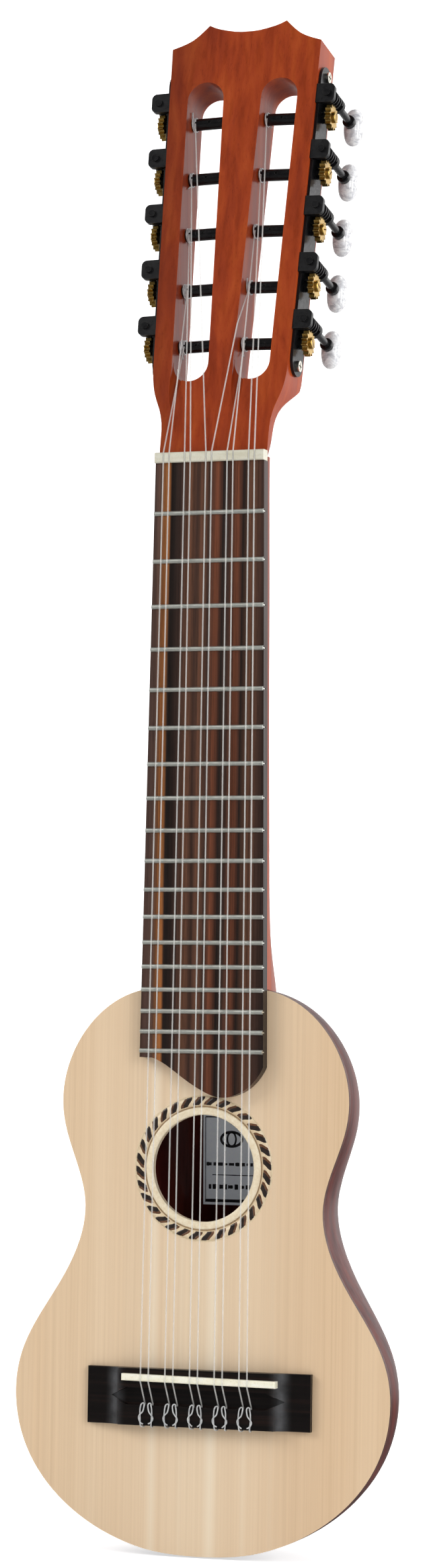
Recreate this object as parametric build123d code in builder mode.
from build123d import *
import math
import os

# A charango: a small ten-string instrument in five courses, with a carved bowl
# and a slotted headstock.
# Frame, millimetres: +Z up along the neck, the tail end of the body at Z = 0, the
# soundboard faces -Y, +X to the right of someone looking at the front.

os.makedirs("parts", exist_ok=True)

# ------------------------------------------------------------------
# Driving dimensions
# ------------------------------------------------------------------
SCALE_LENGTH = 370.0        # sets the fret spacing
NUT_Z = 441.5               # front edge of the nut above the tail end
FRETS = 18
BOARD_Y = -36.05            # top surface of the fingerboard
BOARD_T = 5.0
NUT_HALF, END_HALF = 23.4, 26.4   # half widths of the fingerboard
BOARD_TAPER_LENGTH = 239.0  # length over which the half width grows between them
TOP_T = 2.4                 # soundboard thickness
TOP_Y = BOARD_Y + BOARD_T   # front surface of the soundboard
RIM_Y = TOP_Y + TOP_T       # back surface of the soundboard, rim of the bowl

BODY_TOP_Z = 229.0          # heel end of the body
DEPTH_HEEL, DEPTH_TAIL = 55.0, 63.5   # bowl depth below its rim at both ends
WALL = 4.0                  # bowl wall
HOLE_Z = NUT_Z - 286.2      # soundhole centre
HOLE_R = 21.5

HEAD_TILT = math.radians(11.0)     # backward tilt of the headstock
SIDE_TAPER_DEG = 1.43              # taper of each side of the headstock
SIDE_TAPER = math.radians(SIDE_TAPER_DEG)
TAN_TAPER = math.tan(SIDE_TAPER)
HEAD_T = 19.0
SIDE_START, SIDE_X = 42.0, 29.4    # where the straight side begins: along the face, X

ROLLER_FIRST, ROLLER_PITCH = 48.6, 24.8    # roller places along the head face
ROLLER_DEPTH = 8.3                 # roller axis below the head face
ROLLER_R = 2.5
ROLLER_TIP_R = 1.52                # thin inner end, in the centre rib
ROLLER_UP = [ROLLER_FIRST + ROLLER_PITCH * k - SIDE_START for k in range(5)]
PLATE_SCREW_UP = (-3.4, 123.6)     # plate screws, up the side from SIDE_START

SADDLE_Z = NUT_Z - 370.8
SADDLE_X = 1.5                     # middle of the saddle
SADDLE_TOP_Y = BOARD_Y - 3.0
SADDLE_SLANT = 0.7                 # degrees, lower on the right

# strings: X at the nut and X at the saddle, from left to right
STRING_R = 0.3
COURSE_X = [(-18.4, -21.0), (-9.2, -10.5), (0, 0), (9.2, 10.5), (18.4, 21.0)]
STRING_X = [(nut_x + way * 1.25, saddle_x + way * 1.7)
            for nut_x, saddle_x in COURSE_X for way in (-1, 1)]
# X where a string meets its roller, from the nut up
COIL_X = {"left": [-18.6, -19.2, -20.5, -21.6, -22.0],
          "right": [7.9, 8.1, 8.4, 8.9, 9.6]}


# ------------------------------------------------------------------
# Planes and places
# ------------------------------------------------------------------
def front(y):
    """Plane facing -Y at depth y; local y is +Z."""
    return Plane(origin=(0, y, 0), x_dir=(1, 0, 0), z_dir=(0, -1, 0))


def level(x, y, z):
    """Plane facing +Z; local x and y are X and Y."""
    return Plane(origin=(x, y, z), x_dir=(1, 0, 0), z_dir=(0, 0, 1))


def board_half(z):
    """Half width of the fingerboard and neck at height z."""
    return NUT_HALF + (END_HALF - NUT_HALF) * (NUT_Z - z) / BOARD_TAPER_LENGTH


SIN_TILT, COS_TILT = math.sin(HEAD_TILT), math.cos(HEAD_TILT)
HEAD_UP = (0, SIN_TILT, COS_TILT)      # along the head face
HEAD_IN = (0, COS_TILT, -SIN_TILT)     # into the head, away from its face


def head_point(x, along, depth):
    """Point x to the right, along the head face and depth below it."""
    return (x, BOARD_Y + 4.0 + along * SIN_TILT + depth * COS_TILT,
            NUT_Z + 4.5 + along * COS_TILT - depth * SIN_TILT)


# head face: local x = X, local y = along the face, local z = out of the face
HEAD = Plane(origin=head_point(0, 0, 0), x_dir=(1, 0, 0), z_dir=(0, -COS_TILT, SIN_TILT))

# right side of the head: local x runs up the side, local y is the way the head
# face looks, local z is out of the side
SIDE_UP = (math.sin(SIDE_TAPER), math.cos(SIDE_TAPER) * SIN_TILT,
           math.cos(SIDE_TAPER) * COS_TILT)
SIDE_OUT = (math.cos(SIDE_TAPER), -math.sin(SIDE_TAPER) * SIN_TILT,
            -math.sin(SIDE_TAPER) * COS_TILT)
SIDE = Plane(origin=head_point(SIDE_X, SIDE_START, 0), x_dir=SIDE_UP, z_dir=SIDE_OUT)


def side_plane(up, depth, out):
    """Plane parallel to SIDE: up the side, depth below the face, out from the side."""
    return Plane(origin=SIDE.from_local_coords((up, -depth, out)), x_dir=SIDE_UP, z_dir=SIDE_OUT)


def worm_plane(up, depth, out):
    """Plane across a worm axis: local x up the side, y out of it, z into the head."""
    return Plane(origin=SIDE.from_local_coords((up, -depth, out)), x_dir=SIDE_UP, z_dir=HEAD_IN)


# ------------------------------------------------------------------
# Body forms
# ------------------------------------------------------------------
# right half of the body outline (X, Z), from the heel end to the tail end
OUTLINE_HALF = [
    (0.00, 229.00), (10.95, 228.95), (21.86, 228.00), (32.45, 225.43),
    (42.04, 220.21), (49.97, 212.69), (56.00, 203.57), (59.89, 193.35),
    (61.33, 182.52), (60.06, 171.67), (56.70, 161.25), (53.00, 150.94),
    (50.87, 140.22), (51.92, 129.35), (55.47, 119.01), (60.54, 109.31),
    (66.41, 100.05), (72.20, 90.76), (76.95, 80.90), (79.57, 70.29),
    (79.81, 59.36), (77.88, 48.59), (73.86, 38.42), (67.92, 29.23),
    (60.48, 21.21), (51.88, 14.44), (42.42, 8.93), (32.32, 4.72),
    (21.77, 1.79), (10.95, 0.40), (0.00, 0.00)]
FLAT_HALF_WIDTH, FLAT_HALF_LENGTH, FLAT_Z = 23.0, 76.0, 118.0   # flat oval of the back
BOWL_ANGLES = (0, 14, 28, 42, 55, 67, 78, 90)   # stations from the rim to the flat


def closed_ring(half):
    """Right half of a ring completed by its mirror image."""
    return half + [(-x, z) for x, z in half[-2:0:-1]]


def inset(points, amount):
    """Closed ring of points moved inward by amount, along the normals."""
    ring = []
    for i, (x, z) in enumerate(points):
        before, after = points[i - 1], points[(i + 1) % len(points)]
        run_x, run_z = after[0] - before[0], after[1] - before[1]
        length = math.hypot(run_x, run_z)
        ring.append((x + amount * run_z / length, z - amount * run_x / length))
    return ring


def flat_ring():
    """Boundary of the flat of the back, one point for each outline point."""
    last = len(OUTLINE_HALF) - 1
    half = []
    for i in range(last + 1):
        angle = math.pi * i / last
        half.append((FLAT_HALF_WIDTH * math.sin(angle) ** 0.5 if 0 < i < last else 0.0,
                     FLAT_Z + FLAT_HALF_LENGTH * math.cos(angle)))
    return closed_ring(half)


OUTLINE = closed_ring(OUTLINE_HALF)


def bowl_form(amount):
    """Solid form of the bowl, smaller by amount: elliptical from rim to flat oval."""
    rim = inset(OUTLINE, amount)
    flat = flat_ring()
    with BuildPart() as form:
        for angle in BOWL_ANGLES:
            share = math.cos(math.radians(angle))
            sine = math.sin(math.radians(angle))
            heel_depth = (DEPTH_HEEL - amount) * sine
            tail_depth = (DEPTH_TAIL - amount) * sine
            slope = (tail_depth - heel_depth) / BODY_TOP_Z
            stretch = math.hypot(1.0, slope)
            plane = Plane(origin=(0, RIM_Y + tail_depth, 0), x_dir=(1, 0, 0),
                          z_dir=(0, -1 / stretch, -slope / stretch))
            points = [(flat_x + (rim_x - flat_x) * share,
                       (flat_z + (rim_z - flat_z) * share) * stretch)
                      for (rim_x, rim_z), (flat_x, flat_z) in zip(rim, flat)]
            with BuildSketch(plane):
                with BuildLine():
                    Spline(points, periodic=True)
                make_face()
        loft()
    return form.part


# ------------------------------------------------------------------
# Bowl: carved back and sides in one shell
# ------------------------------------------------------------------
outer_form = bowl_form(0)
cavity_form = bowl_form(WALL)
with BuildPart() as bowl:
    add(outer_form)
    add(cavity_form, mode=Mode.SUBTRACT)

# ------------------------------------------------------------------
# Soundboard and the rosette ring let into it
# ------------------------------------------------------------------
ROSETTE_R = 29.6
ROSETTE_T = 0.8
with BuildPart() as soundboard:
    with BuildSketch(front(TOP_Y)):
        with BuildLine():
            Spline(OUTLINE, periodic=True)
        make_face()
        with Locations((0, HOLE_Z)):
            Circle(HOLE_R, mode=Mode.SUBTRACT)
    extrude(amount=-TOP_T)
    # recess for the rosette
    with BuildSketch(front(TOP_Y)):
        with Locations((0, HOLE_Z)):
            Circle(ROSETTE_R)
    extrude(amount=-ROSETTE_T, mode=Mode.SUBTRACT)

with BuildPart() as rosette:
    with BuildSketch(front(TOP_Y)):
        with Locations((0, HOLE_Z)):
            Circle(ROSETTE_R)
            Circle(HOLE_R, mode=Mode.SUBTRACT)
    extrude(amount=-ROSETTE_T)

# ------------------------------------------------------------------
# Inside the body: lining, end blocks, braces, bridge plate
# ------------------------------------------------------------------
LINING_GAP, LINING_W, LINING_T = 0.5, 5.0, 6
BLOCK_GAP = 0.2             # between the end blocks and the bowl
NECK_BLOCK_W, NECK_BLOCK_H, NECK_BLOCK_T = 62, 34, 40
TAIL_BLOCK_W, TAIL_BLOCK_H, TAIL_BLOCK_T = 46, 18, 26
BRACE_T = 7
# fan struts: turn in degrees, X of the lower piece
FAN_STRUTS = ((0, 0), (7, -26), (-7, 26))
FAN_UPPER_SHARE = 0.80      # X of the upper piece as a share of the lower

# lining strip glued inside the rim, it stops at the two end blocks
with BuildPart() as lining:
    with BuildSketch(front(RIM_Y)):
        with BuildLine():
            Spline(inset(OUTLINE, WALL + LINING_GAP), periodic=True)
        make_face()
        with BuildLine():
            Spline(inset(OUTLINE, WALL + LINING_GAP + LINING_W), periodic=True)
        make_face(mode=Mode.SUBTRACT)
        with Locations((0, BODY_TOP_Z)):
            Rectangle(NECK_BLOCK_W + 1, 70, mode=Mode.SUBTRACT)
        with Locations((0, 0)):
            Rectangle(TAIL_BLOCK_W + 1, 40, mode=Mode.SUBTRACT)
    extrude(amount=-LINING_T)

# end blocks, shaped to the inside of the bowl
block_form = bowl_form(WALL + BLOCK_GAP)
with BuildPart() as neck_block:
    with BuildSketch(front(RIM_Y)):
        with Locations((0, BODY_TOP_Z - NECK_BLOCK_H / 2)):
            Rectangle(NECK_BLOCK_W, NECK_BLOCK_H)
    extrude(amount=-NECK_BLOCK_T)
    add(block_form, mode=Mode.INTERSECT)
with BuildPart() as tail_block:
    with BuildSketch(front(RIM_Y)):
        with Locations((0, TAIL_BLOCK_H / 2)):
            Rectangle(TAIL_BLOCK_W, TAIL_BLOCK_H)
    extrude(amount=-TAIL_BLOCK_T)
    add(block_form, mode=Mode.INTERSECT)

# two braces across and three fan struts in two pieces each, cut short of the lining
with BuildPart() as soundboard_braces:
    with BuildSketch(front(RIM_Y)):
        with Locations((0, HOLE_Z + 32.5), (0, HOLE_Z - 33)):
            Rectangle(150, 6)
        for turn, strut_x in FAN_STRUTS:
            with Locations(Location((strut_x, 34.0, 0), (0, 0, turn))):
                Rectangle(5, 27)
            with Locations(Location((strut_x * FAN_UPPER_SHARE, 99, 0), (0, 0, turn))):
                Rectangle(5, 28)
        with BuildLine():
            Spline(inset(OUTLINE, WALL + LINING_GAP + LINING_W + 1), periodic=True)
        make_face(mode=Mode.INTERSECT)
    extrude(amount=-BRACE_T)

# thin plate under the bridge
with BuildPart() as bridge_plate:
    with BuildSketch(front(RIM_Y)):
        with Locations((0, NUT_Z - 378)):
            Rectangle(100, 28)
    extrude(amount=-2)

# ------------------------------------------------------------------
# Neck with heel and slotted headstock
# ------------------------------------------------------------------
# distance below the nut, depth of the neck, fullness of its round back
NECK_SECTIONS = [
    (-2.0, 14.6, 2.3), (25, 14.4, 2.2), (80, 14.8, 2.2), (135, 15.8, 2.2),
    (170, 17.6, 2.2), (186, 21.5, 2.1), (197, 29.0, 2.0), (206, 40.0, 1.9),
    (214, 49.5, 1.8), (224, 54.0, 1.8), (232, 55.0, 1.8)]
# head between the nut and its shoulders, from the neck's round back to the square
# sides: along the face, half width, depth, fullness
ROOT_SECTIONS = [
    (-9.0, 23.65, 14.9, 2.3), (5, 23.75, 15.3, 2.3), (13, 24.3, 16.0, 2.35),
    (19, 25.8, 17.2, 2.5), (24, 28.6, 19.4, 2.8), (29, 32.5, 22.4, 3.2),
    (36, 38.0, 27.0, 3.6)]
# right half of the head outline: X, along the face
SHOULDER = [(23.3, 6), (23.6, 13), (25.0, 19), (27.6, 25.8), (29.0, 33), (SIDE_X, SIDE_START)]
SIDE_END = 179.2
HEAD_CORNER = [(SIDE_X + (SIDE_END - SIDE_START) * TAN_TAPER, SIDE_END),
               (27.8, 180.9), (23.9, 182.8), (20.2, 185.8), (17.0, 189.0)]
HEAD_CREST = [(17.0, 189.0), (13.7, 187.5), (9.4, 186.3), (4.6, 185.4), (0, 185.2)]
HEAD_FOOT = -3              # lower end of the outline
# back of the head running down into the neck: along the face, height out of it
HEAD_BACK = [(-12, -14.2), (6, -14.9), (20, -16.6), (34, -HEAD_T)]

SLOT_W = 15.9
SLOT_FOOT, SLOT_TOP = 39.0, 155.4   # centres of the slot's round ends

# round gouges for the strings of the first rollers: X at the nut, X at the roller
GOUGES = [(STRING_X[0][0], COIL_X["left"][0]), (STRING_X[6][0], COIL_X["right"][0])]
GOUGE_R = 2.6
GOUGE_LEAD = 1.4                    # the gouge line is measured from here below the face
GOUGE_DEPTH = -5.08 + STRING_R + 0.45     # depth of the gouge bottom at that place
GOUGE_FALL = 10.5 / 49.66           # fall per mm along the face

# roller bores: radius, length
BORES = ((ROLLER_R + 0.08, 16.0), (ROLLER_TIP_R + 0.10, 28.4))
BORE_START = 1.0                    # bores start this far outside the head
PILOT_R, PILOT_LENGTH = 1.15, 9.5

NUT_D, NUT_TOP = 4.3, 1.35          # along Z, height above the fingerboard
NUT_SINK = 4.0                      # nut below the top of the fingerboard


def back_curve(half, depth, power, steps=9):
    """Points of the rounded back of the neck from the right edge to the left."""
    points = []
    for i in range(1, steps):
        angle = math.pi * i / steps
        cosine = math.cos(angle)
        points.append((half * math.copysign(abs(cosine) ** (2 / power), cosine),
                       depth * math.sin(angle) ** (2 / power)))
    return [(half, 0.0)] + points + [(-half, 0.0)]


def gouge_point(nut_x, roller_x, along):
    """Point of a gouge's axis, along the head face."""
    run = along + GOUGE_LEAD
    return head_point(nut_x + (roller_x - nut_x) / (ROLLER_FIRST + 1.1) * run, along,
                      GOUGE_DEPTH + GOUGE_FALL * run - GOUGE_R)


def slot_x(along):
    """Distance of a slot's middle line from the centre."""
    return 13.4 + (along - SIDE_START) * TAN_TAPER


with BuildPart() as neck_shaft:
    for below_nut, depth, power in NECK_SECTIONS:
        z = NUT_Z - below_nut
        with BuildSketch(level(0, TOP_Y, z)):
            with BuildLine():
                Line((-board_half(z), 0), (board_half(z), 0))
                Spline(back_curve(board_half(z), depth, power), tangents=((0, 1), (0, -1)))
            make_face()
    loft()

with BuildPart() as root_form:
    for along, half, depth, power in ROOT_SECTIONS:
        # local x = X, local y = down into the head
        with BuildSketch(Plane(origin=head_point(0, along, 0), x_dir=(1, 0, 0), z_dir=HEAD_UP)):
            with BuildLine():
                Polyline((-half, 0), (-half, -5), (half, -5), (half, 0))
                Spline(back_curve(half, depth, power), tangents=((0, 1), (0, -1)))
            make_face()
    loft()

# what has to go around the root form
with BuildPart() as root_waste:
    with BuildSketch(HEAD.offset(3)):
        with Locations((0, 13.0)):
            Rectangle(90, 43.0)
    extrude(amount=-32)
    add(root_form.part, mode=Mode.SUBTRACT)

keel_form = bowl_form(-0.05)
with BuildPart() as neck_blank:
    with BuildSketch(HEAD):
        with BuildLine():
            Polyline((0, HEAD_FOOT), (SHOULDER[0][0], HEAD_FOOT), SHOULDER[0])
            Spline(SHOULDER, tangents=((0, 1), (SIDE_TAPER, 1)))
            Line(SHOULDER[-1], HEAD_CORNER[0])
            Spline(HEAD_CORNER)
            Spline(HEAD_CREST, tangents=((-1, -0.55), (-1, 0)))
            Line(HEAD_CREST[-1], (0, HEAD_FOOT))
        make_face()
        mirror(about=Plane.YZ)
    extrude(amount=-HEAD_T)
    # back of the head runs down into the neck
    with BuildSketch(Plane(origin=HEAD.origin, x_dir=HEAD_UP, z_dir=(1, 0, 0))):
        with BuildLine():
            Spline(HEAD_BACK, tangents=((1, -0.02), (1, -0.12)))
            Polyline(HEAD_BACK[-1], (34, -40), (-12, -40), HEAD_BACK[0])
        make_face()
    extrude(amount=40, both=True, mode=Mode.SUBTRACT)
    # the head ends at the height of the nut's front edge
    with BuildSketch(Plane.XY.offset(NUT_Z)):
        Rectangle(80, 120)
    extrude(amount=-12, mode=Mode.SUBTRACT)
    # below its shoulders the head is rounded like the neck
    add(root_waste.part, mode=Mode.SUBTRACT)
    add(neck_shaft.part)
    # the heel is shaped to the bowl and to the edge of the soundboard
    add(keel_form, mode=Mode.SUBTRACT)
    with BuildSketch(front(TOP_Y - 1)):
        with BuildLine():
            Spline(inset(OUTLINE, -0.25), periodic=True)
        make_face()
    extrude(amount=-(TOP_T + 1.4), mode=Mode.SUBTRACT)
    # two string slots with round ends
    for side in (1, -1):
        middle_x = side * (slot_x(SLOT_FOOT) + slot_x(SLOT_TOP)) / 2
        with BuildSketch(HEAD):
            with Locations(Location((middle_x, (SLOT_FOOT + SLOT_TOP) / 2, 0),
                                    (0, 0, 90 - side * SIDE_TAPER_DEG))):
                SlotCenterToCenter((SLOT_TOP - SLOT_FOOT) / math.cos(SIDE_TAPER), SLOT_W)
        extrude(amount=-HEAD_T - 1, mode=Mode.SUBTRACT)
    for nut_x, roller_x in GOUGES:
        start = gouge_point(nut_x, roller_x, 10.0)
        run = Vector(gouge_point(nut_x, roller_x, 40.0)) - Vector(start)
        with BuildSketch(Plane(origin=start, z_dir=run.normalized())):
            Circle(GOUGE_R)
        extrude(amount=run.length, mode=Mode.SUBTRACT)
    # bores for the rollers through the outer walls and into the centre rib
    for up in ROLLER_UP:
        for radius, length in BORES:
            with BuildSketch(side_plane(up, ROLLER_DEPTH, BORE_START)):
                Circle(radius)
            bore = extrude(amount=-length, mode=Mode.SUBTRACT)
            mirror(bore, about=Plane.YZ, mode=Mode.SUBTRACT)
    # pilot holes of the plate screws
    for up in PLATE_SCREW_UP:
        with BuildSketch(side_plane(up, ROLLER_DEPTH, BORE_START)):
            Circle(PILOT_R)
        pilot = extrude(amount=-PILOT_LENGTH, mode=Mode.SUBTRACT)
        mirror(pilot, about=Plane.YZ, mode=Mode.SUBTRACT)

# the neck stops flat under the nut
with BuildPart() as nut_seat:
    with BuildSketch(front(BOARD_Y - 6)):
        with Locations((0, NUT_Z + 1.05)):
            Rectangle(60, NUT_D + 2.3)
    extrude(amount=-(6 + NUT_SINK))
with BuildPart() as neck:
    add(neck_blank.part)
    add(nut_seat.part, mode=Mode.SUBTRACT)

# ------------------------------------------------------------------
# Fingerboard
# ------------------------------------------------------------------
BOARD_SIDE_Z = NUT_Z - 241.8        # where the straight sides stop
# curved lower end from left to right: X, distance below the nut
BOARD_END = [(-20.9, 242.0), (-14.6, 245.1), (-9.1, 249.0), (-3.7, 252.6), (2.2, 255.8),
             (8.1, 257.6), (14.4, 256.6), (19.8, 253.8), (23.8, 249.8), (26.5, 245.2)]
FRET_Z = [NUT_Z - SCALE_LENGTH * (1 - 2 ** (-n / 12)) for n in range(1, FRETS + 1)]

end_points = [(x, NUT_Z - below_nut) for x, below_nut in BOARD_END]
with BuildPart() as fingerboard:
    with BuildSketch(front(BOARD_Y)):
        with BuildLine():
            Polyline(end_points[-1], (board_half(BOARD_SIDE_Z), BOARD_SIDE_Z),
                     (NUT_HALF, NUT_Z), (-NUT_HALF, NUT_Z),
                     (-board_half(BOARD_SIDE_Z), BOARD_SIDE_Z), end_points[0])
            Spline(end_points)
        make_face()
    extrude(amount=-BOARD_T)
    # slots for the fret tangs
    with BuildSketch(front(BOARD_Y)):
        for z in FRET_Z:
            with Locations((0, z)):
                Rectangle(60, 0.6)
    extrude(amount=-2.4, mode=Mode.SUBTRACT)

# ------------------------------------------------------------------
# Frets: crown above the board, tang in its slot
# ------------------------------------------------------------------
CROWN_HALF, CROWN_H = 0.95, 0.95
TANG_HALF, TANG_DEPTH = 0.25, 2.0
with BuildPart() as frets:
    for z in FRET_Z:
        half = board_half(z) - 0.15
        # local x = Z, local y = -Y
        with BuildSketch(Plane(origin=(-half, BOARD_Y, z), x_dir=(0, 0, 1), z_dir=(1, 0, 0))):
            with BuildLine():
                Polyline((-CROWN_HALF, 0), (-TANG_HALF, 0), (-TANG_HALF, -TANG_DEPTH),
                         (TANG_HALF, -TANG_DEPTH), (TANG_HALF, 0), (CROWN_HALF, 0))
                ThreePointArc((CROWN_HALF, 0), (0, CROWN_H), (-CROWN_HALF, 0))
            make_face()
        extrude(amount=2 * half)

# ------------------------------------------------------------------
# Nut
# ------------------------------------------------------------------
NUT_STRING_Y = BOARD_Y - NUT_TOP + 0.1     # string axes at the nut
GROOVE_R = STRING_R + 0.12
with BuildPart() as nut:
    with BuildSketch(front(BOARD_Y - NUT_TOP)):
        with Locations((0, NUT_Z + NUT_D / 2)):
            Rectangle(47.0, NUT_D)
    extrude(amount=-(NUT_TOP + NUT_SINK))
    fillet(nut.edges().filter_by(Axis.X).group_by(Axis.Y)[0], 0.8)
    # string grooves, open to the front
    for nut_x, _ in STRING_X:
        with BuildSketch(level(nut_x, NUT_STRING_Y, NUT_Z - 2)):
            Circle(GROOVE_R)
            with Locations((0, -0.8)):
                Rectangle(2 * GROOVE_R, 1.6)
        extrude(amount=NUT_D + 4, mode=Mode.SUBTRACT)

# ------------------------------------------------------------------
# Bridge
# ------------------------------------------------------------------
BRIDGE_TOP_Z, BRIDGE_FOOT_Z = NUT_Z - 366.9, NUT_Z - 389.7
BRIDGE_HALF, BRIDGE_MID = 47.5, 33.0       # half lengths of the whole and the high middle
BRIDGE_H, WING_H = 5.6, 2.4
CHANNEL_TOP_Z = NUT_Z - 374.6
TIE_TOP_Z = NUT_Z - 381.6                  # upper side of the tie block
CHANNEL_HALF, CHANNEL_POINT = 29.5, 37.0   # half lengths of the channel's sides, its tips
TIE_HOLE_Y = TOP_Y - 2.6                   # string holes in the tie block
SADDLE_LENGTH, SADDLE_W = 65.4, 2.8
SADDLE_PLACE = Location((SADDLE_X, SADDLE_Z, 0), (0, 0, -SADDLE_SLANT))

wing_y, crest_y = TOP_Y - WING_H, TOP_Y - BRIDGE_H
with BuildPart() as bridge:
    # profile across the body: thin wings, scooped up to the middle
    with BuildSketch(level(0, 0, BRIDGE_FOOT_Z)):
        with BuildLine():
            Polyline((0, TOP_Y), (BRIDGE_HALF, TOP_Y), (BRIDGE_HALF, wing_y),
                     (BRIDGE_MID + 6.5, wing_y))
            Spline([(BRIDGE_MID + 6.5, wing_y), (BRIDGE_MID + 3.6, wing_y - 0.75),
                    (BRIDGE_MID, crest_y)],
                   tangents=((-1, 0), (-0.35, -1)))
            Polyline((BRIDGE_MID, crest_y), (0, crest_y), (0, TOP_Y))
        make_face()
        mirror(about=Plane.YZ)
    extrude(amount=BRIDGE_TOP_Z - BRIDGE_FOOT_Z)
    # channel between saddle and tie block, with pointed ends
    channel_mid_z = (CHANNEL_TOP_Z + TIE_TOP_Z) / 2
    with BuildSketch(front(crest_y - 1)):
        with BuildLine():
            Polyline((-CHANNEL_HALF, CHANNEL_TOP_Z), (CHANNEL_HALF, CHANNEL_TOP_Z),
                     (CHANNEL_POINT, channel_mid_z), (CHANNEL_HALF, TIE_TOP_Z),
                     (-CHANNEL_HALF, TIE_TOP_Z), (-CHANNEL_POINT, channel_mid_z),
                     (-CHANNEL_HALF, CHANNEL_TOP_Z))
        make_face()
    extrude(amount=-(BRIDGE_H - WING_H + 1 + 0.2), mode=Mode.SUBTRACT)
    # saddle slot, leaving a 1 mm floor
    with BuildSketch(front(crest_y - 1)):
        with Locations(SADDLE_PLACE):
            Rectangle(SADDLE_LENGTH + 0.2, SADDLE_W + 0.1)
    extrude(amount=-(BRIDGE_H + 1 - 1.0), mode=Mode.SUBTRACT)
    # string holes through the tie block
    for _, saddle_x in STRING_X:
        with BuildSketch(level(saddle_x, TIE_HOLE_Y, BRIDGE_FOOT_Z - 1)):
            Circle(STRING_R + 0.3)
        extrude(amount=TIE_TOP_Z - BRIDGE_FOOT_Z + 2, mode=Mode.SUBTRACT)

# ------------------------------------------------------------------
# Saddle
# ------------------------------------------------------------------
with BuildPart() as saddle:
    with BuildSketch(front(SADDLE_TOP_Y)):
        with Locations(SADDLE_PLACE):
            Rectangle(SADDLE_LENGTH, SADDLE_W)
    extrude(amount=-(TOP_Y - 1.02 - SADDLE_TOP_Y))
    fillet(saddle.faces().sort_by(Axis.Y)[0].edges(), 0.6)

# ------------------------------------------------------------------
# Strings: tie block, saddle, nut, then down to their rollers
# ------------------------------------------------------------------
# side of the head and roller, counted from the nut, of each string from left to right
ROLLER_OF_STRING = [("left", 0), ("left", 1), ("left", 2), ("left", 3), ("left", 4),
                    ("right", 1), ("right", 0), ("right", 2), ("right", 3), ("right", 4)]
RIB_STRING = 5              # this one leans on the corner of the centre rib
STRING_GAP = 0.08
SADDLE_STRING_Y = SADDLE_TOP_Y - STRING_R - 0.03

with BuildPart() as strings:
    for i, (nut_x, saddle_x) in enumerate(STRING_X):
        hand, k = ROLLER_OF_STRING[i]
        end_x = COIL_X[hand][k]
        end_along = (ROLLER_FIRST + ROLLER_PITCH * k
                     - (abs(end_x) - SIDE_X) * TAN_TAPER - 0.6)
        saddle_z = SADDLE_Z - (saddle_x - SADDLE_X) * math.tan(math.radians(SADDLE_SLANT))
        points = [(saddle_x, TIE_HOLE_Y, BRIDGE_FOOT_Z - 0.4),
                  (saddle_x, TIE_HOLE_Y, TIE_TOP_Z + 0.6),
                  (saddle_x, SADDLE_STRING_Y, saddle_z - 1.45),
                  (saddle_x, SADDLE_STRING_Y, saddle_z + 0.9),
                  (nut_x, NUT_STRING_Y, NUT_Z - 0.3),
                  (nut_x, NUT_STRING_Y, NUT_Z + NUT_D - 0.2),
                  head_point(end_x, end_along, ROLLER_DEPTH - ROLLER_R - STRING_R - STRING_GAP)]
        if i == RIB_STRING:
            points.insert(6, head_point(6.1, 55.0, -STRING_R - STRING_GAP))
        with BuildLine() as path:
            Polyline(*points)
        with BuildSketch(Plane(origin=path.line @ 0, z_dir=path.line % 0)):
            Circle(STRING_R)
        sweep(path=path.line, transition=Transition.ROUND)

# ------------------------------------------------------------------
# Paper label on the floor of the bowl, under the soundhole
# ------------------------------------------------------------------
LABEL_W, LABEL_H, LABEL_T = 40, 37.5, 0.25
LABEL_Z = NUT_Z - 303.0 + LABEL_H / 2
floor_slope = (DEPTH_TAIL - DEPTH_HEEL) / BODY_TOP_Z
floor_y = RIM_Y + DEPTH_TAIL - WALL - floor_slope * LABEL_Z
with BuildPart() as label:
    with BuildSketch(Plane(origin=(0, floor_y - 0.08, LABEL_Z), x_dir=(1, 0, 0),
                           z_dir=(0, -1, -floor_slope))):
        Rectangle(LABEL_W, LABEL_H)
    extrude(amount=LABEL_T)

# ------------------------------------------------------------------
# Tuner plates and their screws
# ------------------------------------------------------------------
PLATE_GAP = 0.02            # between the plate and the head
PLATE_T, PLATE_W = 1.2, 13.4
PLATE_FOOT, PLATE_TOP = -7.6, 127.8        # plate ends, up the side
WORM_OFFSET = 7.8           # centre distance of worm and gear
WORM_OUT = 4.8              # worm axis outside the head side
SCREW_HEAD_T = 1.3

with BuildPart() as tuner_plate_right:
    with BuildSketch(side_plane((PLATE_FOOT + PLATE_TOP) / 2, ROLLER_DEPTH, PLATE_GAP)):
        SlotOverall(PLATE_TOP - PLATE_FOOT, PLATE_W)
    extrude(amount=PLATE_T)
    for up in ROLLER_UP:
        worm_up = up + WORM_OFFSET
        # front ear: a square lug with rounded corners
        with BuildSketch(worm_plane(worm_up, 0.3, PLATE_GAP)):
            with Locations((0, 4.0)):
                RectangleRounded(8.2, 8.0, 2.2)
            with Locations((0, 1.5)):
                Rectangle(8.2, 3.0)
        extrude(amount=2.2)
        # rear ear: narrower and round
        with BuildSketch(worm_plane(worm_up, 13.3, PLATE_GAP)):
            with Locations((0, WORM_OUT)):
                Circle(3.2)
            with Locations((0, WORM_OUT / 2)):
                Rectangle(6.4, WORM_OUT)
        extrude(amount=2.3)
        # holes for the worm shaft and the roller
        with BuildSketch(worm_plane(worm_up, -1, WORM_OUT)):
            Circle(1.58)
        extrude(amount=20, mode=Mode.SUBTRACT)
        with BuildSketch(side_plane(up, ROLLER_DEPTH, -1)):
            Circle(ROLLER_R + 0.06)
        extrude(amount=4, mode=Mode.SUBTRACT)
    for up in PLATE_SCREW_UP:
        with BuildSketch(side_plane(up, ROLLER_DEPTH, -1)):
            Circle(1.3)
        extrude(amount=4, mode=Mode.SUBTRACT)
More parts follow.
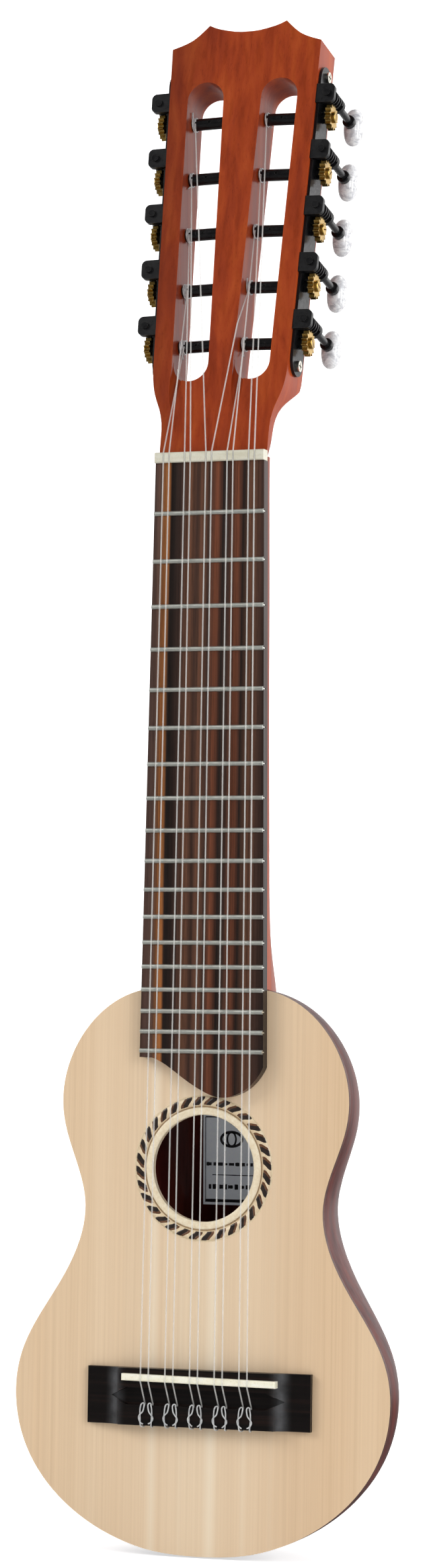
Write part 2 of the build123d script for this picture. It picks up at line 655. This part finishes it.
with BuildPart() as tuner_plate_left:
    mirror(tuner_plate_right.part, about=Plane.YZ)

plate_face = PLATE_GAP + PLATE_T
with BuildPart() as plate_screws:
    for up in PLATE_SCREW_UP:
        # head, shank, cross slot
        with BuildSketch(side_plane(up, ROLLER_DEPTH, plate_face)):
            Circle(2.3)
        extrude(amount=SCREW_HEAD_T)
        with BuildSketch(side_plane(up, ROLLER_DEPTH, plate_face)):
            Circle(1.1)
        extrude(amount=-9.0)
        with BuildSketch(side_plane(up, ROLLER_DEPTH, plate_face + SCREW_HEAD_T)):
            Rectangle(3.2, 0.6)
            Rectangle(0.6, 3.2)
        extrude(amount=-0.7, mode=Mode.SUBTRACT)
    mirror(plate_screws.part, about=Plane.YZ)

# ------------------------------------------------------------------
# Worm and gear, each made once about its own axis
# ------------------------------------------------------------------
TEETH = 14
GEAR_R = 5.05                       # pitch radius of the gear
WORM_R = WORM_OFFSET - GEAR_R       # pitch radius of the worm
THREAD_PITCH = 2 * math.pi * GEAR_R / TEETH
ADDENDUM, DEDENDUM = 0.45, 0.70
THREAD_START, THREAD_END = 2.9, 12.9    # threaded length, from the head face
COLLAR_R = 2.7


def thread_half(radius):
    """Half thickness of the worm thread at a radius."""
    return 0.75 / 2 - (radius - WORM_R) * math.tan(math.radians(12))


def tooth_half(radius):
    """Half thickness of a gear tooth at a radius."""
    return 0.65 / 2 - (radius - GEAR_R) * math.tan(math.radians(24))


# worm shaft, local z = into the head depth
with BuildPart() as worm_shaft:
    with BuildSketch(Plane.XY.offset(-0.6)):
        Circle(1.5)
    extrude(amount=35.6)
    with BuildSketch(Plane.XY.offset(THREAD_START - 0.3)):
        Circle(WORM_R - DEDENDUM)
    extrude(amount=THREAD_END - THREAD_START + 0.6)
    thread_root = WORM_R - DEDENDUM - 0.2
    thread_tip = WORM_R + ADDENDUM
    thread_h = thread_tip - thread_root
    with BuildLine() as helix:
        Helix(pitch=THREAD_PITCH, height=3.3 * THREAD_PITCH, radius=thread_root,
              center=(0, 0, ROLLER_DEPTH - 1.5 * THREAD_PITCH))
    with BuildSketch(Plane(origin=helix.line @ 0, x_dir=(1, 0, 0), z_dir=helix.line % 0)):
        with BuildLine():
            Polyline((0, -thread_half(thread_root)), (thread_h, -thread_half(thread_tip)),
                     (thread_h, thread_half(thread_tip)), (0, thread_half(thread_root)),
                     (0, -thread_half(thread_root)))
        make_face()
    sweep(path=helix.line, is_frenet=True)
    # collar that the button is pressed against
    with BuildSketch(Plane.XY.offset(29.8)):
        Circle(COLLAR_R)
    extrude(amount=3.0)
    fillet(worm_shaft.edges().filter_by(GeomType.CIRCLE)
           .filter_by(lambda edge: abs(edge.radius - COLLAR_R) < 1e-3), 0.6)

# gear with straight teeth, local z = outward
GEAR_OUT, GEAR_T = 3.6, 2.4         # inner face outside the head side, thickness
gear_root, gear_tip = GEAR_R - DEDENDUM, GEAR_R + ADDENDUM
tooth_corners = [(gear_root, -tooth_half(gear_root)), (gear_tip, -tooth_half(gear_tip)),
                 (gear_tip, tooth_half(gear_tip)), (gear_root, tooth_half(gear_root))]
gear_ring = []
for i in range(TEETH):
    angle = 2 * math.pi * i / TEETH
    for radial, across in tooth_corners:
        gear_ring.append((radial * math.cos(angle) - across * math.sin(angle),
                          radial * math.sin(angle) + across * math.cos(angle)))
with BuildPart() as gear:
    with BuildSketch():
        with BuildLine():
            Polyline(*gear_ring, close=True)
        make_face()
        Circle(1.62, mode=Mode.SUBTRACT)
    extrude(amount=GEAR_T)

# gear screw: head on the gear, shank in the roller
with BuildPart() as gear_screw:
    with BuildSketch(Plane.XY.offset(GEAR_T + 0.02)):
        Circle(2.4)
    extrude(amount=1.1)
    fillet(gear_screw.edges().group_by(Axis.Z)[-1], 0.5)
    with BuildSketch(Plane.XY.offset(GEAR_T + 0.02)):
        Circle(0.8)
    extrude(amount=-3.6)
    with BuildSketch(Plane.XY.offset(GEAR_T + 1.12)):
        Rectangle(3.6, 0.55)
    extrude(amount=-0.6, mode=Mode.SUBTRACT)

# ------------------------------------------------------------------
# Button: a flattened oval, on the axis of the worm shaft
# ------------------------------------------------------------------
BUTTON_Z = 37.6
BUTTON_HALF_W, BUTTON_HALF_H, BUTTON_HALF_T = 8.2, 5.0, 3.95
BUTTON_POWER = 2.4          # fullness of the rounding
with BuildPart() as tuner_button:
    for y in (-3.85, -3.3, -2.2, 0.0, 2.2, 3.3, 3.85):
        share = (1 - abs(y / BUTTON_HALF_T) ** BUTTON_POWER) ** (1 / BUTTON_POWER)
        with BuildSketch(Plane.XZ.offset(y)):
            with Locations((0, BUTTON_Z)):
                Ellipse(BUTTON_HALF_W * share, BUTTON_HALF_H * share)
    loft()
    # holes for the shaft end and the collar
    for radius, length in ((1.53, 10.3), (COLLAR_R + 0.06, 7.9)):
        with BuildSketch(Plane.XY.offset(25)):
            Circle(radius)
        extrude(amount=length, mode=Mode.SUBTRACT)

# ------------------------------------------------------------------
# Roller: local z = outward, z = 0 at the head side
# ------------------------------------------------------------------
ROLLER_LENGTH = 23.6        # thick part inside the head side
with BuildPart() as roller:
    with BuildSketch(Plane.XY.offset(-ROLLER_LENGTH)):
        Circle(ROLLER_R)
    extrude(amount=ROLLER_LENGTH + GEAR_OUT - 0.02)
    with BuildSketch(Plane.XY.offset(-27.0)):
        Circle(ROLLER_TIP_R)
    extrude(amount=3.4)
    # seat of the gear, bored for its screw
    with BuildSketch(Plane.XY.offset(GEAR_OUT - 0.02)):
        Circle(1.6)
    extrude(amount=GEAR_T)
    with BuildSketch(Plane.XY.offset(GEAR_OUT + GEAR_T)):
        Circle(0.85)
    extrude(amount=-4.2, mode=Mode.SUBTRACT)
    # string hole
    with BuildSketch(Plane.XZ.offset(-5)):
        with Locations((0, -16.0)):
            Circle(0.6)
    extrude(amount=10, mode=Mode.SUBTRACT)


# ------------------------------------------------------------------
# Export
# ------------------------------------------------------------------
def export_piece(name, part):
    part.label = name
    export_step(part, f"parts/{name}.step")


def on_side(hand, *shapes):
    """One piece of shapes placed on the right side, mirrored for the left hand."""
    with BuildPart() as piece:
        for shape in shapes:
            if hand == "right":
                add(shape)
            else:
                mirror(shape, about=Plane.YZ)
    return piece.part


for name, builder in {
    "bowl": bowl, "soundboard": soundboard, "rosette": rosette, "lining": lining,
    "neck_block": neck_block, "tail_block": tail_block,
    "soundboard_braces": soundboard_braces, "bridge_plate": bridge_plate,
    "neck": neck, "fingerboard": fingerboard, "frets": frets, "nut": nut,
    "bridge": bridge, "saddle": saddle, "strings": strings, "label": label,
    "tuner_plate_left": tuner_plate_left, "tuner_plate_right": tuner_plate_right,
    "plate_screws": plate_screws,
}.items():
    export_piece(name, builder.part)

# ten machines: 1 to 5 on the right from the nut up, 6 to 10 on the left
GEAR_TURN = 180.0 / TEETH          # a gap of the gear faces the worm thread
for k, up in enumerate(ROLLER_UP):
    worm_at = worm_plane(up + WORM_OFFSET, 0, WORM_OUT).location
    gear_at = side_plane(up, ROLLER_DEPTH, GEAR_OUT).location
    roller_at = side_plane(up, ROLLER_DEPTH, 0).location
    for hand, number in (("right", k + 1), ("left", k + 6)):
        export_piece(f"worm_shaft_{number}", on_side(hand, worm_at * worm_shaft.part))
        export_piece(f"tuner_button_{number}", on_side(hand, worm_at * tuner_button.part))
        export_piece(f"roller_{number}", on_side(hand, roller_at * roller.part))
        # each gear screw is turned to its own angle
        export_piece(f"gear_{number}",
                     on_side(hand, gear_at * (Rot(0, 0, GEAR_TURN) * gear.part),
                             gear_at * (Rot(0, 0, 15 + 31 * number) * gear_screw.part)))
